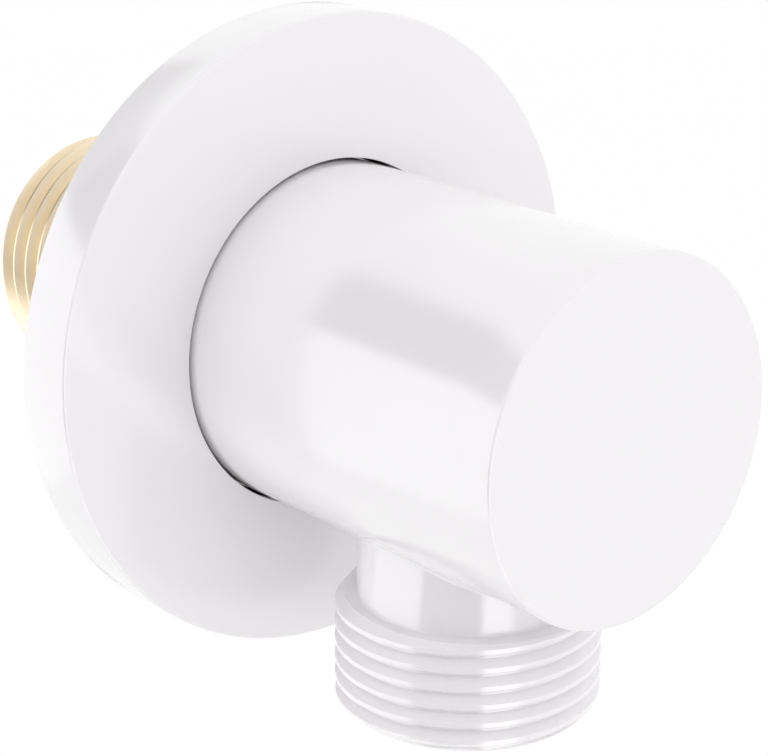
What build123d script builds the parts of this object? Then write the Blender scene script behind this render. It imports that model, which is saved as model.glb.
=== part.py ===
from build123d import *
import math
import os

# Wall outlet elbow: a coated brass body with a hose outlet pointing down, a loose cover flange,
# a raw brass nipple that screws into the wall and a non-return valve inside the outlet.
# Frame: origin on the wall plane in the middle of the nipple, +Y into the wall, +Z up.
# All lengths are in millimetres.

# Half-inch pipe thread, used on the nipple and on the hose outlet
thread_diameter = 20.955
thread_play = 0.05

# Body: plain barrel along Y with the outlet stub below it
body_diameter = 28.2
body_projection = 38.5
body_setback = 1.2
front_edge_chamfer = 0.25
rear_edge_chamfer = 0.3

# Outlet stub: smooth neck, then a wider threaded end
outlet_offset = 21.75
neck_diameter = 17.5
neck_fillet = 0.6
ledge_drop = 17.0
outlet_drop = 26.1
outlet_chamfer = 0.9
mouth_chamfer = 0.4

# Waterways and the socket that takes the nipple
waterway_diameter = 12.0
drill_point_angle = 118.0
socket_depth = 10.0

# Nipple: thread on both ends, hexagonal key hole at the wall end
nipple_reach = 27.7
nipple_bore = 11.0
nipple_chamfer = 0.5
nipple_relief_depth = 1.3
nipple_relief_start = 2.0
nipple_relief_end = 0.4
key_across_flats = 12.0
key_depth = 12.0
washer_thickness = 1.5
washer_play = 0.1

# Cover flange: hollow at the back, with a hub that carries a rubber ring
flange_diameter = 52.0
flange_depth = 5.2
flange_edge = 0.25
flange_front_wall = 1.7
flange_skirt_wall = 2.0
flange_hub_wall = 2.9
flange_hub_setback = 0.3
flange_play = 0.25
flange_groove_depth = 1.15
flange_groove_width = 1.8
flange_groove_place = 3.0

# Rubber rings sit this far from the walls they seal on, and have a many-sided section
seal_play = 0.02
ring_sides = 8

# Non-return valve cartridge, pushed into the outlet from below
valve_diameter = 13.0
valve_play = 0.1
valve_length = 12.0
valve_recess = 0.6
valve_wall = 1.6
housing_length = 6.5
seat_thickness = 1.8
throat_diameter = 6.6
throat_chamfer = 0.5
valve_groove_depth = 1.05
valve_groove_width = 1.4
valve_groove_lip = 0.1
snap_length = 1.8
snap_wall = 0.6
snap_play = 0.05

# Poppet with its rubber seal, closing upwards against the seat
poppet_diameter = 8.0
poppet_thickness = 1.0
poppet_travel = 2.0
seat_play = 0.02
poppet_seal_thickness = 0.8
poppet_seal_hole = 5.0
poppet_head_overlap = 0.4
poppet_head_rim = 0.3
poppet_head_height = 1.3
poppet_head_tip = 1.6
stem_diameter = 2.4
stem_play = 0.1
stem_engagement = 1.3

# Guide in the cage and the spring that stands on it
guide_diameter = 4.8
guide_setback = 0.5
rib_count = 3
rib_width = 1.0
spring_diameter = 3.8
spring_wire = 0.45
spring_turns = 4
spring_wire_sides = 6
spring_slack = 0.85

# Derived radii
thread_radius = thread_diameter / 2
body_radius = body_diameter / 2
neck_radius = neck_diameter / 2
waterway_radius = waterway_diameter / 2
flange_radius = flange_diameter / 2
flange_bore_radius = body_radius + flange_play
valve_radius = valve_diameter / 2
valve_bore_radius = valve_radius - valve_wall
valve_pocket_radius = valve_radius + valve_play
poppet_radius = poppet_diameter / 2
stem_radius = stem_diameter / 2
guide_radius = guide_diameter / 2

# Derived places along Y, counted from the wall plane
socket_floor = -body_setback - socket_depth
nipple_front = socket_floor + washer_thickness

# Derived places along Z, counted from the body axis
valve_bottom = -outlet_drop + valve_recess
valve_top = valve_bottom + valve_length
housing_bottom = valve_top - housing_length
seat_level = valve_top - seat_thickness
valve_groove_place = seat_level - valve_groove_lip - valve_groove_width / 2
poppet_seal_top = seat_level - seat_play
poppet_top = poppet_seal_top - poppet_seal_thickness
poppet_bottom = poppet_top - poppet_thickness
spring_height = (spring_turns + 1) * spring_wire + poppet_travel + spring_slack
guide_top = poppet_bottom - spring_height
guide_bottom = valve_bottom + guide_setback


def turned_along_y(points):
    """Solid of revolution about the body axis from (radius, y) points."""
    return revolve(make_face(Polyline(*points, close=True)), Axis.Y)


def turned_along_outlet(points):
    """Solid of revolution about the outlet axis from (radius, z) points."""
    section = Plane.XZ * make_face(Polyline(*points, close=True))
    return Pos(0, -outlet_offset, 0) * revolve(section, Axis.Z)


def rubber_ring(inner_radius, thickness):
    """Ring about Z whose inside just clears the given radius."""
    section = RegularPolygon(thickness / 2, ring_sides, major_radius=False, rotation=180 / ring_sides)
    return revolve(Plane.XZ * Pos(inner_radius + thickness / 2, 0) * section, Axis.Z)


def barrel():
    """Plain round body with its front and rear edges broken."""
    return turned_along_y(
        [
            (0, -body_projection),
            (body_radius - front_edge_chamfer, -body_projection),
            (body_radius, -body_projection + front_edge_chamfer),
            (body_radius, -body_setback - rear_edge_chamfer),
            (body_radius - rear_edge_chamfer, -body_setback),
            (0, -body_setback),
        ]
    )


def outlet_stub():
    """Neck, ledge and threaded end that hang below the barrel."""
    return turned_along_outlet(
        [
            (0, 0),
            (neck_radius, 0),
            (neck_radius, -ledge_drop),
            (thread_radius, -ledge_drop),
            (thread_radius, -outlet_drop + outlet_chamfer),
            (thread_radius - outlet_chamfer, -outlet_drop),
            (0, -outlet_drop),
        ]
    )


def inlet_waterway():
    """Nipple socket and the drilled hole behind it, with the drill's cone at the blind end."""
    blind_end = -outlet_offset - waterway_radius
    cone_height = waterway_radius / math.tan(math.radians(drill_point_angle / 2))
    socket_radius = thread_radius + thread_play
    return turned_along_y(
        [
            (0, blind_end - cone_height),
            (waterway_radius, blind_end),
            (waterway_radius, socket_floor),
            (socket_radius, socket_floor),
            (socket_radius, -body_setback),
            (0, -body_setback),
        ]
    )


def outlet_waterway():
    """Drilled hole down to the valve pocket and the pocket itself, open at the bottom."""
    return turned_along_outlet(
        [
            (0, 0),
            (valve_bore_radius, 0),
            (valve_bore_radius, valve_top),
            (valve_pocket_radius, valve_top),
            (valve_pocket_radius, -outlet_drop + mouth_chamfer),
            (valve_pocket_radius + mouth_chamfer, -outlet_drop),
            (0, -outlet_drop),
        ]
    )


def elbow_body():
    """Barrel and stub in one casting, blended by a fillet and bored through."""
    trunk = barrel()
    stub = outlet_stub()
    casting = trunk + stub
    junction = new_edges(trunk, stub, combined=casting)
    casting = fillet(junction, neck_fillet)
    return casting - inlet_waterway() - outlet_waterway()


def inlet_nipple():
    """Threaded pipe with a relief groove at the body and a hexagonal key hole at the wall end."""
    relief_radius = thread_radius - nipple_relief_depth
    bore_radius = nipple_bore / 2
    tube = turned_along_y(
        [
            (bore_radius, nipple_front),
            (thread_radius - nipple_chamfer, nipple_front),
            (thread_radius, nipple_front + nipple_chamfer),
            (thread_radius, -nipple_relief_start),
            (relief_radius, -nipple_relief_start),
            (relief_radius, -nipple_relief_end),
            (thread_radius, -nipple_relief_end),
            (thread_radius, nipple_reach - nipple_chamfer),
            (thread_radius - nipple_chamfer, nipple_reach),
            (bore_radius, nipple_reach),
        ]
    )
    hexagon = RegularPolygon(key_across_flats / 2, 6, major_radius=False)
    key_hole = Pos(0, nipple_reach, 0) * Rot(90, 0, 0) * extrude(hexagon, key_depth)
    return tube - key_hole


def inlet_washer():
    """Flat seal between the nipple's end and the floor of the socket."""
    return turned_along_y(
        [
            (waterway_radius, socket_floor),
            (thread_radius - washer_play, socket_floor),
            (thread_radius - washer_play, nipple_front),
            (waterway_radius, nipple_front),
        ]
    )


def wall_flange():
    """Cover ring with a hollow back, a thin front, an outer skirt and a grooved hub."""
    hub_radius = flange_bore_radius + flange_hub_wall
    skirt_radius = flange_radius - flange_skirt_wall
    hollow_floor = -flange_depth + flange_front_wall
    groove_radius = flange_bore_radius + flange_groove_depth
    groove_front = -flange_groove_place - flange_groove_width / 2
    groove_back = -flange_groove_place + flange_groove_width / 2
    return turned_along_y(
        [
            (flange_bore_radius, -flange_depth),
            (flange_radius - flange_edge, -flange_depth),
            (flange_radius, -flange_depth + flange_edge),
            (flange_radius, 0),
            (skirt_radius, 0),
            (skirt_radius, hollow_floor),
            (hub_radius, hollow_floor),
            (hub_radius, -flange_hub_setback),
            (flange_bore_radius, -flange_hub_setback),
            (flange_bore_radius, groove_back),
            (groove_radius, groove_back),
            (groove_radius, groove_front),
            (flange_bore_radius, groove_front),
        ]
    )


def flange_o_ring():
    """Rubber ring in the hub's groove that grips the body and holds the flange to the wall."""
    thickness = flange_play + flange_groove_depth - 2 * seal_play
    ring = rubber_ring(body_radius + seal_play, thickness)
    return Pos(0, -flange_groove_place, 0) * Rot(90, 0, 0) * ring


def valve_housing():
    """Upper half of the cartridge: inlet throat, seat, seal groove and a socket for the cage."""
    throat_radius = throat_diameter / 2
    groove_radius = valve_radius - valve_groove_depth
    groove_top = valve_groove_place + valve_groove_width / 2
    groove_bottom = valve_groove_place - valve_groove_width / 2
    snap_radius = valve_bore_radius + snap_wall + 2 * snap_play
    snap_top = housing_bottom + snap_length + snap_play
    return turned_along_outlet(
        [
            (throat_radius + throat_chamfer, valve_top),
            (valve_radius, valve_top),
            (valve_radius, groove_top),
            (groove_radius, groove_top),
            (groove_radius, groove_bottom),
            (valve_radius, groove_bottom),
            (valve_radius, housing_bottom),
            (snap_radius, housing_bottom),
            (snap_radius, snap_top),
            (valve_bore_radius, snap_top),
            (valve_bore_radius, seat_level),
            (throat_radius, seat_level),
            (throat_radius, valve_top - throat_chamfer),
        ]
    )


def valve_o_ring():
    """Rubber ring between the cartridge and the wall of the outlet."""
    thickness = valve_play + valve_groove_depth - 2 * seal_play
    ring = rubber_ring(valve_radius - valve_groove_depth + seal_play, thickness)
    return Pos(0, -outlet_offset, valve_groove_place) * ring


def valve_cage():
    """Lower half of the cartridge: snap ring, outer wall and a ribbed guide for the stem."""
    inner_radius = valve_bore_radius + snap_play
    wall = turned_along_outlet(
        [
            (inner_radius, housing_bottom + snap_length),
            (inner_radius + snap_wall, housing_bottom + snap_length),
            (inner_radius + snap_wall, housing_bottom),
            (valve_radius, housing_bottom),
            (valve_radius, valve_bottom),
            (inner_radius, valve_bottom),
        ]
    )
    guide_length = guide_top - guide_bottom
    guide = Cylinder(guide_radius, guide_length)
    rib_reach = inner_radius + snap_wall / 2
    rib = Pos(rib_reach / 2, 0, 0) * Box(rib_reach, rib_width, guide_length)
    ribs = [Rot(0, 0, 90 + 360 / rib_count * index) * rib for index in range(rib_count)]
    stem_hole = Cylinder(stem_radius + stem_play, guide_length)
    spider = guide + ribs - stem_hole
    place = Pos(0, -outlet_offset, guide_bottom + guide_length / 2)
    return wall + place * spider


def valve_poppet():
    """Disc with a pointed head that holds the seal, and a stem that slides in the guide."""
    neck = poppet_seal_hole / 2
    head_radius = neck + poppet_head_overlap
    stem_end = guide_top - stem_engagement
    return turned_along_outlet(
        [
            (0, stem_end),
            (stem_radius, stem_end),
            (stem_radius, poppet_bottom),
            (poppet_radius, poppet_bottom),
            (poppet_radius, poppet_top),
            (neck, poppet_top),
            (neck, poppet_seal_top),
            (head_radius, poppet_seal_top),
            (head_radius, poppet_seal_top + poppet_head_rim),
            (poppet_head_tip / 2, poppet_seal_top + poppet_head_height),
            (0, poppet_seal_top + poppet_head_height),
        ]
    )


def poppet_seal():
    """Flat rubber ring under the poppet's head that meets the seat."""
    return turned_along_outlet(
        [
            (poppet_seal_hole / 2, poppet_top),
            (poppet_radius, poppet_top),
            (poppet_radius, poppet_seal_top),
            (poppet_seal_hole / 2, poppet_seal_top),
        ]
    )


def valve_spring():
    """Helical spring from the guide up to the poppet, closing the valve."""
    rise = spring_height - spring_wire
    path = Helix(rise / spring_turns, rise, spring_diameter / 2)
    wire = RegularPolygon(spring_wire / 2, spring_wire_sides)
    section = Plane(path @ 0, z_dir=path % 0) * wire
    coil = sweep(section, path, is_frenet=True)
    return Pos(0, -outlet_offset, guide_top + spring_wire / 2) * coil


def main():
    nodes = {
        "elbow_body": elbow_body(),
        "inlet_nipple": inlet_nipple(),
        "inlet_washer": inlet_washer(),
        "wall_flange": wall_flange(),
        "flange_o_ring": flange_o_ring(),
        "valve_housing": valve_housing(),
        "valve_cage": valve_cage(),
        "valve_o_ring": valve_o_ring(),
        "valve_poppet": valve_poppet(),
        "poppet_seal": poppet_seal(),
        "valve_spring": valve_spring(),
    }
    os.makedirs("parts", exist_ok=True)
    for name, solid in nodes.items():
        export_step(solid, f"parts/{name}.step")


main()
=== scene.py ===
from collections import namedtuple
from dataclasses import dataclass
import math

import bmesh
import bpy
from bpy.props import FloatProperty, FloatVectorProperty, IntProperty, PointerProperty
from bpy.types import Operator, Panel, PropertyGroup
from mathutils import Matrix, Vector


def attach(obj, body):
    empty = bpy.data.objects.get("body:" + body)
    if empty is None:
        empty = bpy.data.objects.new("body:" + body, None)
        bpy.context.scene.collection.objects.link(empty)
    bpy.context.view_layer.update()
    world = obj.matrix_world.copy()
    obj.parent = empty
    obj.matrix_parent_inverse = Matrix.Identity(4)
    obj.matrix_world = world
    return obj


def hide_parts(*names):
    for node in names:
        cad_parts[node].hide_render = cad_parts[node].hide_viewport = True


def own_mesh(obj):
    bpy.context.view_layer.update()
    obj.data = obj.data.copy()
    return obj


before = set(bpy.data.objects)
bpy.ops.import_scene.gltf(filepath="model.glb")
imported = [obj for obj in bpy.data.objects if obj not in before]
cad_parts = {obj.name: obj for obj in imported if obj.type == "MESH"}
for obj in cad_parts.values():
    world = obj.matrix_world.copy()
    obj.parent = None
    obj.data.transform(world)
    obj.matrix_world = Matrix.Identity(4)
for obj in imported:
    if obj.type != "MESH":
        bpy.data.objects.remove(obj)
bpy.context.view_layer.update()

bl_info = {
    "name": "Wall outlet elbow",
    "version": (1, 0, 0),
    "blender": (4, 5, 0),
    "location": "View3D > Sidebar > Outlet",
    "description": "Dresses the wall outlet elbow: coated body, cover flange, brass nipple and valve",
    "category": "Object",
}

MM = 0.001
SHARP_ANGLE = math.radians(28)
MERGE_DISTANCE = 1e-6
EDGE_TOLERANCE = 5 * MERGE_DISTANCE

# Fineness of the small round pieces
RING_COLUMNS = 120
RING_SIDES = 20
COIL_POINTS = 320
WIRE_SIDES = 12
RIB_EDGE_POINTS = 4


def length(description, millimetres):
    """A size in millimetres, kept in metres."""
    return FloatProperty(description=description, default=millimetres * MM, unit="LENGTH", precision=5)


def share(description, value):
    """A part of a whole, from 0 to 1."""
    return FloatProperty(description=description, default=value, min=0, max=1, subtype="FACTOR")


def whole(description, value, lowest):
    """A whole number of points or pieces."""
    return IntProperty(description=description, default=value, min=lowest)


def degrees(description, value):
    """An angle in degrees, kept in radians."""
    return FloatProperty(description=description, default=math.radians(value), subtype="ANGLE")


def colour(description, rgb):
    """A colour of a finish."""
    return FloatVectorProperty(
        description=description, default=rgb, size=3, min=0, max=1, subtype="COLOR"
    )


class BodySizes(PropertyGroup):
    barrel_radius: length("Outside radius of the round body", 14.1)
    front: length("Distance from the wall to the front face", 38.5)
    rear: length("Distance from the wall to the rear face", 1.2)
    edge_break: length("Rounding of the front and rear edges", 0.25)
    outlet_offset: length("Distance from the wall to the outlet's axis", 21.75)
    neck_radius: length("Radius of the smooth neck above the thread", 8.75)
    neck_blend: length("Fillet between the neck and the barrel", 0.6)
    ledge_drop: length("Depth of the thread's top ledge below the axis", 17.0)
    ledge_corner: length("Fillet where the neck meets the ledge", 0.15)
    outlet_drop: length("Depth of the outlet's end below the axis", 26.1)
    pocket_radius: length("Radius of the pocket that takes the valve", 6.6)
    pocket_top: length("Depth of the pocket's top below the axis", 13.5)
    mouth_break: length("Chamfer at the mouth of the pocket", 0.4)
    drop_radius: length("Radius of the hole from the waterway to the pocket", 4.9)
    waterway_radius: length("Radius of the drilled waterway", 6.0)
    waterway_end: length("Distance from the wall to the waterway's blind end", 27.75)
    drill_point: length("Height of the cone left by the drill", 3.605)
    socket_radius: length("Radius of the nipple's socket", 10.5275)
    socket_floor: length("Distance from the wall to the socket's floor", 11.2)


class ThreadSizes(PropertyGroup):
    radius: length("Outside radius of both threads", 10.4775)
    outlet_pitch: length("Distance between the outlet's crests", 1.51)
    outlet_depth: length("Depth of the outlet's grooves under the coat", 0.78)
    outlet_chamfer: length("Chamfer at the outlet's end", 0.9)
    outlet_turn: share("Turn of the outlet thread about its axis", 0.9375)
    inlet_pitch: length("Distance between the nipple's crests", 1.814)
    inlet_depth: length("Depth of the nipple's grooves", 1.05)
    inlet_chamfer: length("Chamfer at the nipple's end", 0.5)
    inlet_turn: share("Turn of the nipple's thread about its axis", 0.3125)
    outlet_crest: share("Share of the outlet's pitch that is flat at the crest", 0.25)
    outlet_root: share("Share of the outlet's pitch that is flat at the root", 0.125)
    inlet_crest: share("Share of the nipple's pitch that is flat at the crest", 0.125)
    inlet_root: share("Share of the nipple's pitch that is flat at the root", 0.25)
    columns: whole("Points around a thread", 192, 24)
    steps: whole("Points along one pitch", 16, 6)


class NippleSizes(PropertyGroup):
    front: length("Distance from the wall to the end inside the body", 9.7)
    reach: length("Length of the nipple behind the wall plane", 27.7)
    bore_radius: length("Radius of the bore", 5.5)
    relief_radius: length("Radius of the groove at the body", 9.1775)
    relief_front: length("Distance from the wall to the groove's front", 2.0)
    relief_back: length("Distance from the wall to the groove's back", 0.4)
    key_flat: length("Half the width across the flats of the key hole", 6.0)
    key_depth: length("Depth of the key hole", 12.0)
    edge_break: length("Chamfer at the ends", 0.5)


class FlangeSizes(PropertyGroup):
    radius: length("Outside radius of the cover flange", 26.0)
    depth: length("Thickness from the wall to the front", 5.2)
    edge_break: length("Rounding of the front edge", 0.25)
    bore_radius: length("Radius of the hole that the body passes through", 14.35)
    bore_break: length("Rounding of the hole's front edge and of the rear rim", 0.05)
    front_wall: length("Thickness of the front", 1.7)
    skirt_wall: length("Thickness of the outer skirt", 2.0)
    hub_wall: length("Thickness of the hub", 2.9)
    hub_setback: length("How far the hub stays in front of the wall", 0.3)
    groove_radius: length("Radius of the groove for the rubber ring", 15.5)
    groove_half: length("Half the width of that groove", 0.9)
    groove_place: length("Distance from the wall to the groove's middle", 3.0)
    ring_radius: length("Middle radius of the rubber ring in the groove", 14.8)
    ring_section: length("Section radius of that ring", 0.675)


class ValveSizes(PropertyGroup):
    radius: length("Outside radius of the valve cartridge", 6.5)
    bottom: length("Depth of the cartridge's end below the axis", 25.5)
    cage_top: length("Depth of the joint between housing and cage", 20.0)
    snap_top: length("Depth of the top of the cage's snap ring", 18.2)
    snap_wall: length("Thickness of the snap ring", 0.6)
    inner_radius: length("Inside radius of the cage", 4.95)
    edge_break: length("Rounding of the cage's edges", 0.18)
    guide_radius: length("Outside radius of the stem's guide", 2.4)
    guide_hole: length("Radius of the hole for the stem", 1.3)
    guide_top: length("Depth of the top of the guide", 22.22)
    guide_bottom: length("Depth of the bottom of the guide", 25.0)
    rib_width: length("Width of a rib", 1.0)
    rib_count: whole("Ribs that carry the guide", 3, 2)
    spring_radius: length("Middle radius of the spring", 1.9)
    spring_wire: length("Radius of the spring's wire", 0.225)
    spring_top: length("Depth of the spring's top below the axis", 17.12)
    spring_turns: FloatProperty(description="Turns of the spring", default=5.0, min=1)
    ring_radius: length("Middle radius of the cartridge's rubber ring", 6.025)
    ring_section: length("Section radius of that ring", 0.55)
    ring_place: length("Depth of that ring below the axis", 16.1)


class FinishColours(PropertyGroup):
    coat: colour("White coat of the body and flange", (0.880, 0.862, 0.880))
    coat_shade: colour("Slight tone in the coat", (0.862, 0.844, 0.862))
    brass: colour("Bare brass of the nipple", (0.97, 0.85, 0.64))
    # Darker brass: mixed in as painted shade in the thread's roots, and by random tone elsewhere
    brass_dull: colour("Brass in the thread's roots", (0.94, 0.79, 0.56))
    rubber: colour("Black rubber rings", (0.018, 0.018, 0.020))
    plastic: colour("Natural plastic of the valve", (0.66, 0.69, 0.72))
    steel: colour("Drawn steel of the spring", (0.56, 0.57, 0.60))
    paper: colour("Pale floor and backdrop", (0.92, 0.92, 0.92))


class StageSettings(PropertyGroup):
    azimuth: degrees("Camera's turn about the object", -41.183)
    elevation: degrees("Camera's height angle", 19.19)
    roll: degrees("Camera's roll", 0.224)
    distance: length("Camera's distance from its target", 176.136)
    target_x: length("Point the camera looks at, sideways", -11.722)
    target_y: length("Point the camera looks at, from the wall", -25.0)
    target_z: length("Point the camera looks at, in height", 4.028)
    lens: FloatProperty(description="Focal length in mm on a 36 mm sensor", default=115.40)
    floor_drop: length("Depth of the floor below the axis", 250.0)
    sweep_turn: degrees("Turn of the paper sweep", -59)


GROUPS = {
    "outlet_body": BodySizes,
    "outlet_threads": ThreadSizes,
    "outlet_nipple": NippleSizes,
    "outlet_flange": FlangeSizes,
    "outlet_valve": ValveSizes,
    "outlet_finish": FinishColours,
    "outlet_stage": StageSettings,
}

# Each setting is titled after its own name
for group in GROUPS.values():
    for key, setting in group.__annotations__.items():
        setting.keywords["name"] = key.replace("_", " ").capitalize()


# Node trees: small helpers that keep the trees short to read

FLOAT = "NodeSocketFloat"
WHOLE = "NodeSocketInt"
WHITE = (1, 1, 1, 1)

# A Mix node repeats its socket names, so its colour sockets go by number
MIX_FACTOR, MIX_FIRST, MIX_SECOND, MIX_RESULT = 0, 6, 7, 2


class Tree:
    """Adds nodes to a tree and links them by socket name."""

    def __init__(self, tree):
        self.tree = tree

    def node(self, kind, settings=None, **inputs):
        node = self.tree.nodes.new(kind)
        for key, value in (settings or {}).items():
            setattr(node, key, value)
        for key, value in inputs.items():
            self.put(node.inputs[key.replace("_", " ")], value)
        return node

    def put(self, socket, value):
        if isinstance(value, bpy.types.NodeSocket):
            self.tree.links.new(value, socket)
        else:
            socket.default_value = value

    def math(self, operation, first, second=0.0, third=0.0):
        node = self.node("ShaderNodeMath", {"operation": operation})
        for socket, value in zip(node.inputs, (first, second, third)):
            self.put(socket, value)
        return node.outputs[0]

    def polar(self, radius, angle, height):
        """A point at a radius and an angle about Z."""
        x = self.math("MULTIPLY", radius, self.math("COSINE", angle))
        y = self.math("MULTIPLY", radius, self.math("SINE", angle))
        return self.node("ShaderNodeCombineXYZ", X=x, Y=y, Z=height).outputs[0]

    def mix_colours(self, factor, first, second):
        mix = self.node("ShaderNodeMix", {"data_type": "RGBA"})
        self.put(mix.inputs[MIX_FACTOR], factor)
        self.put(mix.inputs[MIX_FIRST], (*first, 1))
        self.put(mix.inputs[MIX_SECOND], (*second, 1))
        return mix.outputs[MIX_RESULT]

    def mix_shaders(self, factor, first, second):
        mix = self.node("ShaderNodeMixShader", Fac=factor)
        self.put(mix.inputs[1], first.outputs[0])
        self.put(mix.inputs[2], second.outputs[0])
        return mix.outputs[0]


def emptied(block):
    """A builder for the emptied node tree of a material or a world."""
    block.use_nodes = True
    block.node_tree.nodes.clear()
    return Tree(block.node_tree)


def new_group(name, kind, inputs, outputs):
    """A node group with named sockets, as its builder and the outputs of its input node."""
    group = bpy.data.node_groups.new(name, kind)
    for in_out, sockets in (("INPUT", inputs), ("OUTPUT", outputs)):
        for socket, socket_type in sockets.items():
            group.interface.new_socket(name=socket, in_out=in_out, socket_type=socket_type)
    t = Tree(group)
    return t, t.node("NodeGroupInput").outputs


def geometry_group(name, lengths, counts):
    """A geometry tree whose inputs are lengths or shares, whole counts and a material."""
    inputs = {**dict.fromkeys(lengths, FLOAT), **dict.fromkeys(counts, WHOLE)}
    inputs["Material"] = "NodeSocketMaterial"
    return new_group(name, "GeometryNodeTree", inputs, {"Geometry": "NodeSocketGeometry"})


def end_geometry(t, node, material):
    """Ends a geometry tree with a plain mesh in its material."""
    plain = t.node("GeometryNodeRealizeInstances", Geometry=node.outputs[0])
    painted = t.node("GeometryNodeSetMaterial", Geometry=plain.outputs[0], Material=material)
    t.node("NodeGroupOutput", Geometry=painted.outputs[0])


def thread_tree():
    """A screw thread along +Z: rows of points follow the helix and are cut off flat at both ends."""
    t, given = geometry_group("Cut thread", (
        "Radius", "Depth", "Pitch", "Length", "Start Chamfer", "End Chamfer", "Start Turn",
        "Crest Share", "Root Share",
    ), ("Columns", "Steps"))
    outside, pitch, reach = given["Radius"], given["Pitch"], given["Length"]
    turns = t.math("ADD", t.math("CEIL", t.math("DIVIDE", reach, pitch)), 1.0)
    columns = t.math("ADD", given["Columns"], 1.0)
    rows = t.math("ADD", t.math("MULTIPLY", turns, given["Steps"]), 1.0)
    grid = t.node("GeometryNodeMeshGrid", Size_X=1.0, Size_Y=1.0, Vertices_X=columns, Vertices_Y=rows)
    place = t.node("GeometryNodeInputPosition").outputs[0]
    place = t.node("ShaderNodeSeparateXYZ", Vector=place).outputs
    around = t.math("ADD", place["X"], 0.5)
    along = t.math("ADD", place["Y"], 0.5)
    raw = t.math("MULTIPLY", pitch, t.math("ADD", t.math("MULTIPLY_ADD", along, turns, -1.0), around))
    height = t.node("ShaderNodeClamp", Value=raw, Min=0.0, Max=reach).outputs[0]
    phase = t.math("SUBTRACT", t.math("DIVIDE", height, pitch), around)
    keep_positive = 64.0
    phase = t.math("FRACT", t.math("ADD", t.math("ADD", phase, given["Start Turn"]), keep_positive))
    from_root = t.math("ABSOLUTE", t.math("MULTIPLY_ADD", phase, 2.0, -1.0))
    crest = t.math("SUBTRACT", 1.0, given["Crest Share"])
    groove = t.node("ShaderNodeMapRange", Value=from_root, From_Min=given["Root Share"], From_Max=crest,
                    To_Min=1.0, To_Max=0.0).outputs["Result"]
    radius = t.math("SUBTRACT", outside, t.math("MULTIPLY", given["Depth"], groove))
    start_cone = t.math("ADD", t.math("SUBTRACT", outside, given["Start Chamfer"]), height)
    end_cone = t.math("SUBTRACT", outside, given["End Chamfer"])
    end_cone = t.math("ADD", end_cone, t.math("SUBTRACT", reach, height))
    radius = t.math("MINIMUM", radius, t.math("MINIMUM", start_cone, end_cone))
    point = t.polar(radius, t.math("MULTIPLY", around, math.tau), height)
    stored = t.node("GeometryNodeStoreNamedAttribute", {"data_type": "FLOAT", "domain": "POINT"},
                    Geometry=grid.outputs["Mesh"], Name="groove", Value=groove)
    moved = t.node("GeometryNodeSetPosition", Geometry=stored.outputs[0], Position=point)
    merged = t.node("GeometryNodeMergeByDistance", Geometry=moved.outputs[0], Distance=MERGE_DISTANCE)
    end_geometry(t, merged, given["Material"])


def spring_tree():
    """A coil spring along +Z whose end turns lie flat: a spiral of points swept by a round wire."""
    t, given = geometry_group("Wind spring", ("Radius", "Wire", "Height", "Turns"), ("Points",))
    line = t.node("GeometryNodeCurvePrimitiveLine")
    path = t.node("GeometryNodeResampleCurve", Curve=line.outputs[0], Count=given["Points"])
    along = t.node("GeometryNodeSplineParameter").outputs["Factor"]
    angle = t.math("MULTIPLY", along, t.math("MULTIPLY", given["Turns"], math.tau))
    flat_turn = 0.8
    flat = t.math("DIVIDE", flat_turn, given["Turns"])
    to_flat = t.math("SUBTRACT", 1.0, flat)
    rise = t.node("ShaderNodeMapRange", Value=along, From_Min=flat, From_Max=to_flat)
    inner = t.math("SUBTRACT", given["Height"], t.math("MULTIPLY", given["Wire"], 2.0))
    height = t.math("MULTIPLY_ADD", rise.outputs["Result"], inner, given["Wire"])
    point = t.polar(given["Radius"], angle, height)
    moved = t.node("GeometryNodeSetPosition", Geometry=path.outputs[0], Position=point)
    wire = t.node("GeometryNodeCurvePrimitiveCircle", Resolution=WIRE_SIDES, Radius=given["Wire"])
    swept = t.node("GeometryNodeCurveToMesh", Curve=moved.outputs[0], Profile_Curve=wire.outputs[0],
                   Fill_Caps=True)
    smooth = t.node("GeometryNodeSetShadeSmooth", Geometry=swept.outputs[0])
    end_geometry(t, smooth, given["Material"])


def rib_tree():
    """Ribs like spokes: a bar with rounded edges reaches outwards and is set around the axis."""
    t, given = geometry_group("Set ribs", (
        "Start Turn", "Inner Radius", "Outer Radius", "Width", "Height", "Rounding",
    ), ("Count",))
    section = t.node("GeometryNodeCurvePrimitiveQuadrilateral", Width=given["Width"],
                     Height=given["Height"])
    section = t.node("GeometryNodeFilletCurve", {"mode": "POLY"}, Curve=section.outputs[0],
                     Radius=given["Rounding"], Count=RIB_EDGE_POINTS)
    inner = t.node("ShaderNodeCombineXYZ", X=given["Inner Radius"])
    outer = t.node("ShaderNodeCombineXYZ", X=given["Outer Radius"])
    reach = t.node("GeometryNodeCurvePrimitiveLine", Start=inner.outputs[0], End=outer.outputs[0])
    rib = t.node("GeometryNodeCurveToMesh", Curve=reach.outputs[0], Profile_Curve=section.outputs[0],
                 Fill_Caps=True)
    step = t.math("DIVIDE", math.tau, given["Count"])
    turn = t.math("MULTIPLY_ADD", t.node("GeometryNodeInputIndex").outputs[0], step, given["Start Turn"])
    euler = t.node("ShaderNodeCombineXYZ", Z=turn)
    turned_by = t.node("FunctionNodeEulerToRotation", Euler=euler.outputs[0])
    points = t.node("GeometryNodePoints", Count=given["Count"])
    spokes = t.node("GeometryNodeInstanceOnPoints", Points=points.outputs[0], Instance=rib.outputs[0],
                    Rotation=turned_by.outputs[0])
    end_geometry(t, spokes, given["Material"])


def linked(name, data):
    """A new object in the scene."""
    item = bpy.data.objects.new(name, data)
    bpy.context.scene.collection.objects.link(item)
    return item


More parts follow.
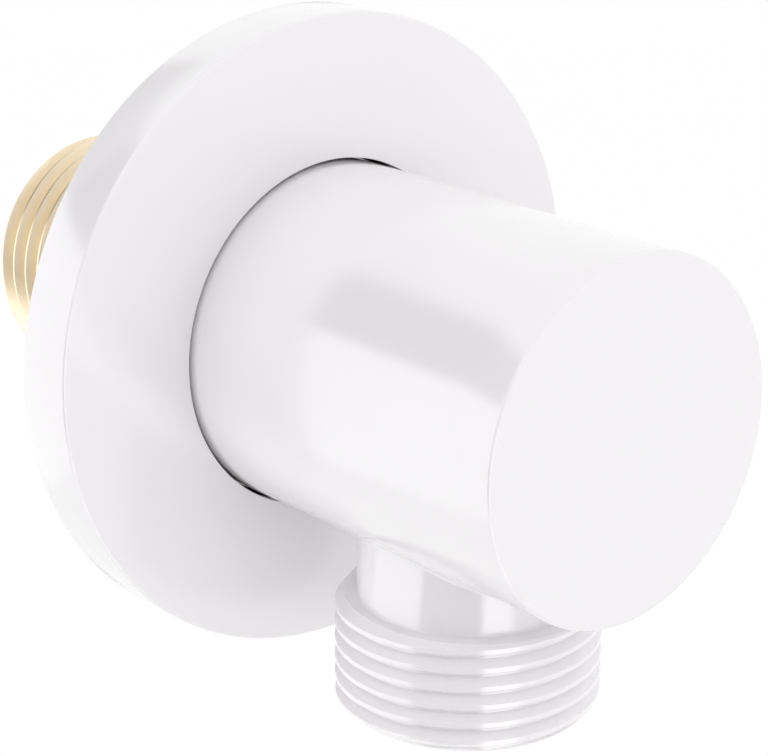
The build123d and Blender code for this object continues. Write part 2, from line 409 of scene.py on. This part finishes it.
def grown(name, tree_name, values):
    """Runs a geometry tree once and returns its result as a plain mesh."""
    tree = bpy.data.node_groups[tree_name]
    empty = bpy.data.meshes.new(name)
    seed = linked(name, empty)
    modifier = seed.modifiers.new(tree.name, "NODES")
    modifier.node_group = tree
    for item in tree.interface.items_tree:
        if item.in_out == "INPUT":
            modifier[item.identifier] = values[item.name]
    depsgraph = bpy.context.evaluated_depsgraph_get()
    mesh = bpy.data.meshes.new_from_object(seed.evaluated_get(depsgraph))
    bpy.data.objects.remove(seed)
    bpy.data.meshes.remove(empty)
    return mesh


# Meshes: rings of points joined by quads


def ring_about(bm, radius, height, columns, place):
    """A ring of points; radius is a number or a function of the angle."""
    points = []
    for column in range(columns):
        angle = math.tau * column / columns
        reach = radius(angle) if callable(radius) else radius
        point = Vector((reach * math.cos(angle), reach * math.sin(angle), height))
        points.append(bm.verts.new(place @ point))
    return points


def join_rings(bm, first, second, material=0):
    """Quads between two closed rings with the same number of points."""
    count = len(first)
    for i in range(count):
        face = bm.faces.new((first[i], first[(i + 1) % count], second[(i + 1) % count], second[i]))
        face.material_index = material


def join_all(bm, rings, material=0):
    """Quads along a row of rings."""
    for first, second in zip(rings, rings[1:]):
        join_rings(bm, first, second, material)


def closed_rings(bm, profile, columns, place):
    """A closed ring-shaped skin along a closed (radius, height) profile."""
    rings = [ring_about(bm, radius, height, columns, place) for radius, height in profile]
    join_all(bm, rings + rings[:1])


def fan(bm, ring, centre, material=0):
    """Closes a ring with triangles to a middle point."""
    tip = bm.verts.new(centre)
    count = len(ring)
    for i in range(count):
        face = bm.faces.new((ring[i], ring[(i + 1) % count], tip))
        face.material_index = material


def corner(radius, height, break_size, turn, steps=4):
    """Points of a rounded outer corner as (radius, height): turn is the angle where it starts."""
    points = []
    for step in range(steps + 1):
        angle = turn + math.pi / 2 * step / steps
        points.append((radius + break_size * math.cos(angle), height + break_size * math.sin(angle)))
    return points


def rounded_end(inner, outer, end, inner_break, outer_break):
    """Profile across the low end of a ring, from its bore to its outside, with both corners rounded."""
    bore = corner(inner + inner_break, end + inner_break, inner_break, math.pi)
    return bore + corner(outer - outer_break, end + outer_break, outer_break, 1.5 * math.pi)


def thread_skin(threads, end, reach, start_chamfer, end_chamfer, place, material):
    """A bmesh that holds one of the two threads; end is outlet or inlet."""

    def size(name):
        return getattr(threads, f"{end}_{name}")

    mesh = grown(f"{end}_thread", "Cut thread", {
        "Radius": threads.radius, "Depth": size("depth"), "Pitch": size("pitch"), "Length": reach,
        "Start Chamfer": start_chamfer, "End Chamfer": end_chamfer, "Start Turn": size("turn"),
        "Crest Share": size("crest"), "Root Share": size("root"),
        "Columns": threads.columns, "Steps": threads.steps, "Material": material,
    })
    mesh.transform(place)
    bm = bmesh.new()
    bm.from_mesh(mesh)
    bpy.data.meshes.remove(mesh)
    return bm


def boundary_ring(bm, height, columns, centre):
    """The open edge of a thread at one height, sorted by angle about the thread's axis."""
    edge = {v for e in bm.edges if e.is_boundary for v in e.verts}
    found = [v for v in edge if abs(v.co.z - height) < EDGE_TOLERANCE]
    if len(found) != columns:
        raise RuntimeError(f"the thread's edge has {len(found)} points, not {columns}")
    step = math.tau / columns

    def column(v):
        return round(math.atan2(v.co.y - centre, v.co.x) / step) % columns

    return sorted(found, key=column)


def finished(name, bm, materials, body, slot, *nodes):
    """Turns a bmesh into a piece of the object that stands for CAD nodes and rides on a body."""
    bmesh.ops.recalc_face_normals(bm, faces=bm.faces)
    mesh = bpy.data.meshes.new(name)
    bm.to_mesh(mesh)
    bm.free()
    placed(name, mesh, materials, body, slot, *nodes)


def placed(name, mesh, materials, body, slot, *nodes):
    """Puts a mesh in the scene as a piece of the object."""
    mesh.name = name
    mesh.materials.clear()
    for material in materials:
        mesh.materials.append(material)
    mesh.polygons.foreach_set("use_smooth", [True] * len(mesh.polygons))
    mesh.set_sharp_from_angle(angle=SHARP_ANGLE)
    piece = linked(name, mesh)
    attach(piece, body)
    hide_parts(*nodes)
    return piece


def turned(name, profile, columns, place, materials, body, slot, *nodes):
    """A closed ring-shaped piece turned from a closed (radius, height) profile."""
    bm = bmesh.new()
    closed_rings(bm, profile, columns, place)
    finished(name, bm, materials, body, slot, *nodes)


ALONG_Y = Matrix.Rotation(math.radians(-90), 4, "X")

# Material slots of the body
COAT, BRASS = 0, 1

# Half lengths of the patches around the neck and around the drop hole
NECK_PATCH = 13 * MM
DROP_PATCH = 5.5 * MM

# Rings on the front face, as shares of the barrel's radius
FACE_RINGS = (0.97, 0.8, 0.5, 0.2)


@dataclass
class PiercedBarrel:
    """Grid on a cylinder along Y with a round hole in its underside.

    The hole belongs to a vertical cylinder of hole_radius at hole_y. A patch around the hole runs from
    the hole's edge to a rectangle on the cylinder, and the rest of the cylinder is a plain grid that
    shares the rectangle's points. front and rear are the end rings, hole is the edge of the hole.
    """

    HALF_ANGLE = math.radians(72)
    PATCH_ROWS = 28

    bm: bmesh.types.BMesh
    radius: float
    hole_radius: float
    blend: float
    hole_y: float
    half_length: float
    columns: int
    material: int

    def __post_init__(self):
        self.side = self.columns // 4
        self.build()

    def on_barrel(self, turn, y):
        return self.bm.verts.new((self.radius * math.sin(turn), y, -self.radius * math.cos(turn)))

    def hole_point(self, angle):
        reach = self.hole_radius + self.blend
        turn = math.asin(reach * math.cos(angle) / (self.radius + self.blend))
        return turn, self.hole_y + reach * math.sin(angle)

    def rectangle_point(self, column):
        """Column 0 is the middle of the +X side, and columns count towards the rear."""
        quarter, step = divmod((column + self.side // 2) % self.columns, self.side)
        slide = 2 * step / self.side - 1
        turn, y = ((1, slide), (-slide, 1), (-1, -slide), (slide, -1))[quarter]
        return turn * self.HALF_ANGLE, self.hole_y + y * self.half_length

    def build(self):
        rows = []
        for row in range(self.PATCH_ROWS + 1):
            part = row / self.PATCH_ROWS
            points = []
            for column in range(self.columns):
                turn, y = self.hole_point(math.tau * column / self.columns)
                edge_turn, edge_y = self.rectangle_point(column)
                points.append(self.on_barrel(turn + (edge_turn - turn) * part, y + (edge_y - y) * part))
            rows.append(points)
        join_all(self.bm, rows, self.material)
        self.hole = rows[0]
        edge = rows[-1]
        half, side, count = self.side // 2, self.side, self.columns
        right = [edge[(i - half) % count] for i in range(side + 1)]
        rear = [edge[half + i] for i in range(side + 1)]
        left = [edge[3 * half + i] for i in range(side + 1)]
        front = [edge[5 * half + i] for i in range(side + 1)]
        turn_step = 2 * self.HALF_ANGLE / side
        total = round(math.tau / turn_step)
        grid = [right]
        for k in range(1, total - side):
            turn = self.HALF_ANGLE + turn_step * k
            grid.append([self.on_barrel(turn, point.co.y) for point in right])
        grid.append(left[::-1])
        for first, second in zip(grid, grid[1:]):
            for i in range(side):
                face = self.bm.faces.new((first[i], first[i + 1], second[i + 1], second[i]))
                face.material_index = self.material
        self.front = front[:-1] + [column[0] for column in grid[:-1]]
        self.rear = rear[::-1][:-1] + [column[-1] for column in grid[:-1]]

    def ring_like(self, ring, radius, y):
        """A ring along Y with the same turns as an end ring."""
        points = []
        for point in ring:
            turn = math.atan2(point.co.x, -point.co.z)
            points.append(self.bm.verts.new((radius * math.sin(turn), y, -radius * math.cos(turn))))
        return points


def body_mesh(sizes, threads, coat):
    """The casting in one closed skin: pierced barrel, blended neck, threaded outlet and waterway."""
    columns = threads.columns
    outlet_y = -sizes.outlet_offset
    bm = thread_skin(threads, "outlet", sizes.outlet_drop - sizes.ledge_drop, threads.outlet_chamfer,
                     0.0, Matrix.Translation((0, outlet_y, -sizes.outlet_drop)), coat)
    thread_top = boundary_ring(bm, -sizes.ledge_drop, columns, outlet_y)
    thread_end = boundary_ring(bm, -sizes.outlet_drop, columns, outlet_y)
    outlet = Matrix.Translation((0, outlet_y, 0))

    def ring(radius, height):
        return ring_about(bm, radius, height, columns, outlet)

    shell = PiercedBarrel(bm, sizes.barrel_radius, sizes.neck_radius, sizes.neck_blend, outlet_y,
                          NECK_PATCH, columns, COAT)
    blend_rows = neck_blend_rows(bm, sizes, columns)
    neck_top = blend_rows[-1]
    join_all(bm, [shell.hole] + blend_rows)
    bend = sizes.ledge_corner
    foot = corner(sizes.neck_radius + bend, -sizes.ledge_drop + bend, bend, math.pi, steps=3)
    join_all(bm, [neck_top] + [ring(*row) for row in foot] + [thread_top])
    close_front(bm, shell, sizes)
    inside = PiercedBarrel(bm, sizes.waterway_radius, sizes.drop_radius, 0.0, outlet_y, DROP_PATCH,
                           columns, BRASS)
    mouth, top = -sizes.outlet_drop, -sizes.pocket_top
    rim = sizes.pocket_radius + sizes.mouth_break
    join_all(bm, [thread_end, ring(rim, mouth)])
    rows = [
        (rim, mouth), (sizes.pocket_radius, mouth + sizes.mouth_break),
        (sizes.pocket_radius, top), (sizes.drop_radius, top),
    ]
    join_all(bm, [ring(*row) for row in rows] + [inside.hole], BRASS)
    close_inside(bm, shell, inside, sizes)
    bmesh.ops.remove_doubles(bm, verts=bm.verts, dist=MERGE_DISTANCE)
    return bm


def neck_blend_rows(bm, sizes, columns, steps=10):
    """Rows of the fillet that a ball rolls between the barrel and the neck, starting at the barrel."""
    blend = sizes.neck_blend
    rows = [[] for step in range(steps)]
    for column in range(columns):
        angle = math.tau * column / columns
        reach = sizes.neck_radius + blend
        centre_x = reach * math.cos(angle)
        depth = math.sqrt((sizes.barrel_radius + blend) ** 2 - centre_x ** 2)
        centre = Vector((centre_x, -sizes.outlet_offset + reach * math.sin(angle), -depth))
        to_barrel = Vector((-centre_x, 0, depth)).normalized()
        to_neck = Vector((-math.cos(angle), -math.sin(angle), 0))
        for step in range(steps):
            towards = to_barrel.slerp(to_neck, (step + 1) / steps)
            rows[step].append(bm.verts.new(centre + towards * blend))
    return rows


def close_front(bm, shell, sizes):
    """Front edge with its small rounding, and the flat front face."""
    edge = sizes.edge_break
    rings = [shell.front]
    rows = corner(sizes.barrel_radius - edge, sizes.front - edge, edge, 0.0)
    rings += [shell.ring_like(shell.front, radius, -y) for radius, y in rows]
    for part in FACE_RINGS:
        rings.append(shell.ring_like(shell.front, sizes.barrel_radius * part, -sizes.front))
    join_all(bm, rings)
    fan(bm, rings[-1], (0, -sizes.front, 0))


def close_inside(bm, shell, inside, sizes):
    """Rear face, nipple socket, waterway and its drilled end."""
    edge, rear, floor = sizes.edge_break, -sizes.rear, -sizes.socket_floor
    socket = sizes.socket_radius

    def ring(radius, y):
        return shell.ring_like(shell.rear, radius, y)

    rows = corner(sizes.barrel_radius - edge, rear - edge, edge, 0.0) + [(socket + edge, rear)]
    join_all(bm, [shell.rear] + [ring(*row) for row in rows])
    rows = [
        (socket + edge, rear), (socket, rear - edge), (socket, floor), (sizes.waterway_radius, floor),
    ]
    join_all(bm, [ring(*row) for row in rows] + [inside.rear], BRASS)
    blind = shell.ring_like(inside.front, sizes.waterway_radius, -sizes.waterway_end)
    join_rings(bm, inside.front, blind, BRASS)
    fan(bm, blind, (0, -sizes.waterway_end - sizes.drill_point, 0), BRASS)


# Finishes


def surface_grain():
    """Shared shader group: slow tone and fine grain read from the piece's own coordinates."""
    t, given = new_group("Surface grain", "ShaderNodeTree", {
        "Vector": "NodeSocketVector", "Tone Scale": FLOAT, "Grain Scale": FLOAT, "Grain Detail": FLOAT,
    }, {"Tone": FLOAT, "Grain": FLOAT})
    tone = t.node("ShaderNodeTexNoise", Vector=given["Vector"], Scale=given["Tone Scale"], Detail=2.0)
    grain = t.node("ShaderNodeTexNoise", Vector=given["Vector"], Scale=given["Grain Scale"],
                   Detail=given["Grain Detail"])
    t.node("NodeGroupOutput", Tone=tone.outputs[0], Grain=grain.outputs[0])
    return t.tree


def toned(rgb, part):
    """A colour made lighter or darker."""
    return [channel * part for channel in rgb]


class Finish:
    """One material: a Principled shader fed by the shared grain."""

    def __init__(self, name, grain_group, tone, grain, detail, stretch=(1, 1, 1)):
        self.material = bpy.data.materials.new(name)
        self.t = emptied(self.material)
        self.shader = self.t.node("ShaderNodeBsdfPrincipled")
        self.t.node("ShaderNodeOutputMaterial", Surface=self.shader.outputs[0])
        place = self.t.node("ShaderNodeTexCoord").outputs["Object"]
        place = self.t.node("ShaderNodeMapping", Vector=place, Scale=stretch)
        self.grain = self.t.node("ShaderNodeGroup", {"node_tree": grain_group}, Vector=place.outputs[0],
                                 Tone_Scale=tone, Grain_Scale=grain, Grain_Detail=detail)

    def plain(self, **values):
        for key, value in values.items():
            self.shader.inputs[key.replace("_", " ")].default_value = value

    def colours(self, light, dark, factor=None):
        mixed = self.t.mix_colours(factor or self.grain.outputs["Tone"], light, dark)
        self.t.put(self.shader.inputs["Base Color"], mixed)

    def roughness(self, low, high, source="Tone"):
        spread = self.t.node("ShaderNodeMapRange", Value=self.grain.outputs[source],
                             To_Min=low, To_Max=high)
        self.t.put(self.shader.inputs["Roughness"], spread.outputs[0])

    def bump(self, strength, distance):
        bump = self.t.node("ShaderNodeBump", Strength=strength, Distance=distance,
                           Height=self.grain.outputs["Grain"])
        self.t.put(self.shader.inputs["Normal"], bump.outputs[0])


def make_finishes(colours):
    """Makes all materials of the object."""
    group = surface_grain()
    coat = Finish("gloss_coat", group, tone=60.0, grain=900.0, detail=1.0)
    coat.colours(colours.coat, colours.coat_shade)
    coat.roughness(0.20, 0.26)
    coat.bump(strength=0.03, distance=0.02 * MM)
    coat.plain(IOR=1.5, Coat_Weight=1.0, Coat_Roughness=0.15, Coat_IOR=1.9)

    brass = Finish("turned_brass", group, tone=70.0, grain=1500.0, detail=3.0, stretch=(1, 9, 1))
    # The thread's roots get the darker brass as painted shade; the grain's tone adds random darker
    # patches on top
    groove = brass.t.node("ShaderNodeAttribute", {"attribute_name": "groove"}).outputs["Fac"]
    painted_root_shade, by_tone = 0.6, 0.35
    root_shade_and_tone = brass.t.math("MULTIPLY", groove, painted_root_shade)
    root_shade_and_tone = brass.t.math("MULTIPLY_ADD", brass.grain.outputs["Tone"], by_tone, root_shade_and_tone)
    brass.colours(colours.brass, colours.brass_dull, root_shade_and_tone)
    brass.roughness(0.28, 0.42, "Grain")
    brass.bump(strength=0.25, distance=0.03 * MM)
    brass.plain(Metallic=1.0)

    rubber = Finish("moulded_rubber", group, tone=150.0, grain=3500.0, detail=3.0)
    rubber.colours(colours.rubber, toned(colours.rubber, 1.8))
    rubber.roughness(0.55, 0.72)
    rubber.bump(strength=0.3, distance=0.02 * MM)

    plastic = Finish("moulded_plastic", group, tone=220.0, grain=2600.0, detail=2.0)
    plastic.colours(colours.plastic, toned(colours.plastic, 0.92))
    plastic.roughness(0.32, 0.42)
    plastic.bump(strength=0.12, distance=0.01 * MM)
    plastic.plain(IOR=1.48)

    steel = Finish("drawn_steel", group, tone=400.0, grain=5000.0, detail=3.0)
    steel.colours(colours.steel, toned(colours.steel, 0.8))
    steel.roughness(0.22, 0.36, "Grain")
    steel.bump(strength=0.1, distance=0.005 * MM)
    steel.plain(Metallic=1.0)


# Operators: one for each piece or group of like pieces


class OUTLET_OT_finishes(Operator):
    """Make the materials and the geometry trees that the pieces share"""

    bl_idname = "outlet.finishes"
    bl_label = "Finishes"

    def execute(self, context):
        make_finishes(context.scene.outlet_finish)
        thread_tree()
        spring_tree()
        rib_tree()
        return {"FINISHED"}


class OUTLET_OT_body(Operator):
    """Build the coated body with its outlet thread"""

    bl_idname = "outlet.body"
    bl_label = "Body"

    def execute(self, context):
        scene = context.scene
        coat, brass = bpy.data.materials["gloss_coat"], bpy.data.materials["turned_brass"]
        bm = body_mesh(scene.outlet_body, scene.outlet_threads, coat)
        finished("body_casting", bm, [coat, brass], "elbow", "white_coat", "elbow_body")
        return {"FINISHED"}


class OUTLET_OT_nipple(Operator):
    """Build the brass nipple with its wall thread and key hole"""

    bl_idname = "outlet.nipple"
    bl_label = "Nipple"

    def execute(self, context):
        sizes, threads = context.scene.outlet_nipple, context.scene.outlet_threads
        brass = bpy.data.materials["turned_brass"]
        columns = threads.columns
        bm = thread_skin(threads, "inlet", sizes.reach + sizes.relief_back, sizes.edge_break,
                         threads.inlet_chamfer, Matrix.Translation((0, 0, -sizes.relief_back)), brass)
        start = boundary_ring(bm, -sizes.relief_back, columns, 0.0)
        end = boundary_ring(bm, sizes.reach, columns, 0.0)
        unturned = Matrix.Identity(4)

        def key(angle):
            sixth = math.radians(60)
            return sizes.key_flat / math.cos(angle % sixth - sixth / 2)

        outside, edge, bore = threads.radius, sizes.edge_break, sizes.bore_radius
        front, key_floor = -sizes.front, sizes.reach - sizes.key_depth
        rows = [
            (lambda angle: key(angle) + edge / 2, sizes.reach), (key, sizes.reach - edge / 2),
            (key, key_floor), (bore, key_floor), (bore, front + edge), (bore + edge, front),
            (outside - edge, front), (outside, front + edge), (outside, -sizes.relief_front),
            (sizes.relief_radius, -sizes.relief_front), (sizes.relief_radius, -sizes.relief_back),
        ]
        rings = [ring_about(bm, radius, height, columns, unturned) for radius, height in rows]
        join_all(bm, [end] + rings + [start])
        bmesh.ops.transform(bm, matrix=ALONG_Y, verts=bm.verts)
        finished("brass_nipple", bm, [brass], "elbow", "raw_brass", "inlet_nipple")
        return {"FINISHED"}


class OUTLET_OT_flange(Operator):
    """Build the cover flange and the rubber ring in its hub"""

    bl_idname = "outlet.flange"
    bl_label = "Flange"

    def execute(self, context):
        sizes = context.scene.outlet_flange
        columns = context.scene.outlet_threads.columns
        edge, lip = sizes.edge_break, sizes.bore_break
        groove_front = -sizes.groove_place - sizes.groove_half
        groove_back = -sizes.groove_place + sizes.groove_half
        hub = sizes.bore_radius + sizes.hub_wall
        skirt = sizes.radius - sizes.skirt_wall
        floor = -sizes.depth + sizes.front_wall
        profile = rounded_end(sizes.bore_radius, sizes.radius, -sizes.depth, lip, edge)
        profile += corner(sizes.radius - lip, -lip, lip, 0.0)
        profile += [
            (skirt, 0.0), (skirt, floor), (hub, floor), (hub, -sizes.hub_setback),
            (sizes.bore_radius, -sizes.hub_setback), (sizes.bore_radius, groove_back),
            (sizes.groove_radius, groove_back), (sizes.groove_radius, groove_front),
            (sizes.bore_radius, groove_front),
        ]
        coat, rubber = bpy.data.materials["gloss_coat"], bpy.data.materials["moulded_rubber"]
        turned("cover_flange", profile, columns, ALONG_Y, [coat], "flange", "white_coat", "wall_flange")
        rubber_ring("flange_ring", sizes.ring_radius, sizes.ring_section,
                    ALONG_Y @ Matrix.Translation((0, 0, -sizes.groove_place)),
                    rubber, "flange", "flange_o_ring")
        return {"FINISHED"}


def rubber_ring(name, radius, section, place, rubber, body, node):
    """A round rubber ring that stands for a CAD ring."""
    turns = [math.tau * side / RING_SIDES for side in range(RING_SIDES)]
    profile = [(radius + section * math.cos(turn), section * math.sin(turn)) for turn in turns]
    turned(name, profile, RING_COLUMNS, place, [rubber], body, "black_rubber", node)


class OUTLET_OT_valve(Operator):
    """Build the valve's cage, spring and ring, and finish the pieces that keep their CAD shape"""

    bl_idname = "outlet.valve"
    bl_label = "Valve"

    def execute(self, context):
        sizes = context.scene.outlet_valve
        outlet_y = -context.scene.outlet_body.outlet_offset
        plastic, rubber = bpy.data.materials["moulded_plastic"], bpy.data.materials["moulded_rubber"]
        steel = bpy.data.materials["drawn_steel"]
        place = Matrix.Translation((0, outlet_y, 0))
        self.cage(sizes, place, plastic)
        rubber_ring("valve_ring", sizes.ring_radius, sizes.ring_section,
                    place @ Matrix.Translation((0, 0, -sizes.ring_place)),
                    rubber, "elbow", "valve_o_ring")
        height = sizes.guide_top - sizes.spring_top
        coil = grown("valve_coil", "Wind spring", {
            "Radius": sizes.spring_radius, "Wire": sizes.spring_wire, "Height": height,
            "Turns": sizes.spring_turns, "Points": COIL_POINTS, "Material": steel,
        })
        coil.transform(place @ Matrix.Translation((0, 0, -sizes.guide_top)))
        spring = placed("valve_coil", coil, [steel], "elbow", "spring_steel", "valve_spring")
        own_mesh(spring)
        for node, material in (
            ("valve_housing", plastic), ("valve_poppet", plastic),
            ("poppet_seal", rubber), ("inlet_washer", rubber),
        ):
            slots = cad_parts[node].data.materials
            slots.clear()
            slots.append(material)
        return {"FINISHED"}

    def cage(self, sizes, place, plastic):
        edge = sizes.edge_break
        bm = bmesh.new()
        inner, outer = sizes.inner_radius, sizes.radius
        wall = rounded_end(inner, outer, -sizes.bottom, edge, edge)
        wall += [
            (outer, -sizes.cage_top), (inner + sizes.snap_wall, -sizes.cage_top),
            (inner + sizes.snap_wall, -sizes.snap_top), (inner, -sizes.snap_top),
        ]
        closed_rings(bm, wall, RING_COLUMNS, place)
        guide = rounded_end(sizes.guide_hole, sizes.guide_radius, -sizes.guide_bottom, edge, edge)
        guide += [(sizes.guide_radius, -sizes.guide_top), (sizes.guide_hole, -sizes.guide_top)]
        closed_rings(bm, guide, RING_COLUMNS, place)
        ribs = grown("guide_ribs", "Set ribs", {
            "Count": sizes.rib_count, "Start Turn": math.radians(90),
            "Inner Radius": sizes.guide_radius - edge, "Outer Radius": inner + edge,
            "Width": sizes.rib_width, "Height": sizes.guide_bottom - sizes.guide_top, "Rounding": edge,
            "Material": plastic,
        })
        ribs.transform(place @ Matrix.Translation((0, 0, -(sizes.guide_top + sizes.guide_bottom) / 2)))
        bm.from_mesh(ribs)
        bpy.data.meshes.remove(ribs)
        finished("valve_basket", bm, [plastic], "elbow", "valve_plastic", "valve_cage")


# Panels and boards of the room by angles in degrees; mirror_only ones show in gloss alone
Board = namedtuple("Board", "left right low high edge level mirror_only")

ROOM_LEVEL = 1.0
BOARDS = (
    Board(95, 178, -35, 17, 1.5, level=1.28, mirror_only=False),
    Board(112, 150, 18, 41, 2.0, level=0.035, mirror_only=False),
    Board(76, 112, 18, 41, 2.0, level=0.40, mirror_only=True),
    Board(178, 240, -32, -5, 1.5, level=0.035, mirror_only=False),
    Board(190, 225, -5, 38, 1.5, level=0.035, mirror_only=True),
    Board(241, 272, -66, -6, 2.0, level=2.0, mirror_only=True),
)

# Lamps by place, aim and size in metres
Softbox = namedtuple("Softbox", "name place aim width height power")

MIDDLE = (0.0, -0.02, 0.0)
SOFTBOXES = (
    Softbox("left_panel", (-0.317, 0.210, -0.075), (0.0, 0.0, -0.075), 0.42, 0.34, 0.09),
    Softbox("back_softbox", (0.44, 0.47, 0.26), MIDDLE, 0.40, 0.30, 0.75),
    Softbox("top_softbox", (0.10, 0.05, 0.70), MIDDLE, 0.40, 0.40, 0.10),
    Softbox("right_board", (0.75, -0.05, 0.10), MIDDLE, 0.90, 0.90, 0.60),
    Softbox("low_fill", (-0.52, -0.60, -0.12), MIDDLE, 0.50, 0.50, 0.80),
    Softbox("low_right", (0.45, -0.30, -0.35), MIDDLE, 0.40, 0.40, 0.45),
)

# How much of the paper shows as plain white; the rest takes the shadow
PAPER_WHITE = 0.97


class OUTLET_OT_stage(Operator):
    """Set up the pale sweep, the lights and the camera"""

    bl_idname = "outlet.stage"
    bl_label = "Stage"

    def execute(self, context):
        scene = context.scene
        settings = scene.outlet_stage
        scene.view_settings.view_transform = "Standard"
        self.sweep(settings, scene.outlet_finish.paper)
        self.world(scene)
        for box in SOFTBOXES:
            self.softbox(box)
        self.camera(scene, settings)
        return {"FINISHED"}

    def sweep(self, settings, paper):
        front, reach, bend, width, top = 0.40, 1.1, 0.5, 2.0, 2.4
        bend_steps = 12
        points = [(-front, 0.0), (reach, 0.0)]
        for step in range(1, bend_steps + 1):
            angle = math.radians(90) * step / bend_steps
            points.append((reach + bend * math.sin(angle), bend - bend * math.cos(angle)))
        points.append((reach + bend, top))
        turn = Matrix.Rotation(settings.sweep_turn, 4, "Z")
        bm = bmesh.new()
        rows = []
        for y, z in points:
            ends = [turn @ Vector((x, y, z - settings.floor_drop)) for x in (-width, width)]
            rows.append([bm.verts.new(end) for end in ends])
        for first, second in zip(rows, rows[1:]):
            bm.faces.new((first[0], first[1], second[1], second[0]))
        mesh = bpy.data.meshes.new("paper_sweep")
        bm.to_mesh(mesh)
        bm.free()
        mesh.polygons.foreach_set("use_smooth", [True] * len(mesh.polygons))
        mesh.materials.append(self.paper(paper))
        floor = linked("paper_sweep", mesh)
        floor.visible_glossy = False

    def paper(self, tone):
        material = bpy.data.materials.new("pale_paper")
        t = emptied(material)
        place = t.node("ShaderNodeTexCoord").outputs["Object"]
        fibre = t.node("ShaderNodeTexNoise", Vector=place, Scale=300.0, Detail=4.0)
        tint = t.mix_colours(fibre.outputs[0], tone, toned(tone, 0.98))
        matt = t.node("ShaderNodeBsdfDiffuse", Color=tint)
        white = t.node("ShaderNodeEmission", Color=WHITE, Strength=1.0)
        rays = t.node("ShaderNodeLightPath").outputs
        seen = t.math("MAXIMUM", rays["Is Camera Ray"], rays["Is Transmission Ray"])
        seen = t.math("MULTIPLY", t.math("MAXIMUM", seen, rays["Is Glossy Ray"]), PAPER_WHITE)
        t.node("ShaderNodeOutputMaterial", Surface=t.mix_shaders(seen, matt, white))
        return material

    def world(self, scene):
        """An even room with bright panels and dark boards, which show as bands in the glossy coat."""
        world = bpy.data.worlds.new("studio_room")
        scene.world = world
        t = emptied(world)
        towards = t.node("ShaderNodeTexCoord").outputs["Generated"]
        part = t.node("ShaderNodeSeparateXYZ", Vector=towards).outputs
        height = t.math("ARCSINE", part["Z"])
        turn = t.math("WRAP", t.math("ARCTAN2", part["Y"], part["X"]), math.tau, 0.0)
        rays = t.node("ShaderNodeLightPath").outputs
        level = ROOM_LEVEL
        for board in BOARDS:
            mask = self.window(t, turn, board.left, board.right, board.edge)
            mask = t.math("MULTIPLY", mask, self.window(t, height, board.low, board.high, board.edge))
            if board.mirror_only:
                mask = t.math("MULTIPLY", mask, rays["Is Glossy Ray"])
            level = t.math("MULTIPLY_ADD", mask, board.level - ROOM_LEVEL, level)
        room = t.node("ShaderNodeBackground", Color=WHITE, Strength=level)
        white = t.node("ShaderNodeBackground", Color=WHITE, Strength=1.0)
        t.node("ShaderNodeOutputWorld", Surface=t.mix_shaders(rays["Is Camera Ray"], room, white))

    def window(self, t, value, low, high, edge):
        """1 between two angles in degrees and 0 outside them, with a soft edge."""
        sides = []
        for at, inside in ((low, 1), (high, -1)):
            start, stop = math.radians(at - inside * edge), math.radians(at + inside * edge)
            side = t.node("ShaderNodeMapRange", {"interpolation_type": "SMOOTHSTEP"},
                          Value=value, From_Min=start, From_Max=stop)
            sides.append(side.outputs["Result"])
        return t.math("MULTIPLY", *sides)

    def softbox(self, box):
        lamp = bpy.data.lights.new(box.name, "AREA")
        lamp.shape = "RECTANGLE"
        lamp.size, lamp.size_y = box.width, box.height
        lamp.energy = box.power
        holder = linked(box.name, lamp)
        holder.location = box.place
        towards = Vector(box.aim) - Vector(box.place)
        holder.rotation_euler = towards.to_track_quat("-Z", "Y").to_euler()
        holder.visible_camera = False
        holder.visible_glossy = False

    def camera(self, scene, settings):
        azimuth, elevation = settings.azimuth, settings.elevation
        back = Vector((
            math.sin(azimuth) * math.cos(elevation),
            -math.cos(azimuth) * math.cos(elevation),
            math.sin(elevation),
        ))
        right = Vector((math.cos(azimuth), math.sin(azimuth), 0))
        turn = Matrix((right, back.cross(right), back)).transposed()
        turn = turn @ Matrix.Rotation(settings.roll, 3, "Z")
        target = Vector((settings.target_x, settings.target_y, settings.target_z))
        data = bpy.data.cameras.new("photo_camera")
        data.lens = settings.lens
        data.sensor_fit = "HORIZONTAL"
        data.sensor_width = 36.0
        data.clip_start = 0.005
        data.clip_end = 20.0
        camera = linked("photo_camera", data)
        camera.matrix_world = Matrix.Translation(target + back * settings.distance) @ turn.to_4x4()
        scene.camera = camera


STEPS = (
    OUTLET_OT_finishes, OUTLET_OT_body, OUTLET_OT_nipple,
    OUTLET_OT_flange, OUTLET_OT_valve, OUTLET_OT_stage,
)


class OUTLET_PT_panel(Panel):
    """Sizes and steps of the wall outlet elbow"""

    bl_idname = "OUTLET_PT_panel"
    bl_label = "Wall outlet elbow"
    bl_space_type = "VIEW_3D"
    bl_region_type = "UI"
    bl_category = "Outlet"

    def draw(self, context):
        for step in STEPS:
            self.layout.operator(step.bl_idname, text=step.bl_label)
        for name, group in GROUPS.items():
            box = self.layout.box()
            box.label(text=name.replace("_", " "))
            for key in group.__annotations__:
                box.prop(getattr(context.scene, name), key)


CLASSES = (*GROUPS.values(), *STEPS, OUTLET_PT_panel)


def register():
    for item in CLASSES:
        bpy.utils.register_class(item)
    for name, group in GROUPS.items():
        setattr(bpy.types.Scene, name, PointerProperty(type=group))


def unregister():
    for name in GROUPS:
        delattr(bpy.types.Scene, name)
    for item in reversed(CLASSES):
        bpy.utils.unregister_class(item)


def main():
    register()
    bpy.ops.outlet.finishes()
    bpy.ops.outlet.body()
    bpy.ops.outlet.nipple()
    bpy.ops.outlet.flange()
    bpy.ops.outlet.valve()
    bpy.ops.outlet.stage()
    bpy.context.view_layer.update()


if __name__ == "__main__":
    main()
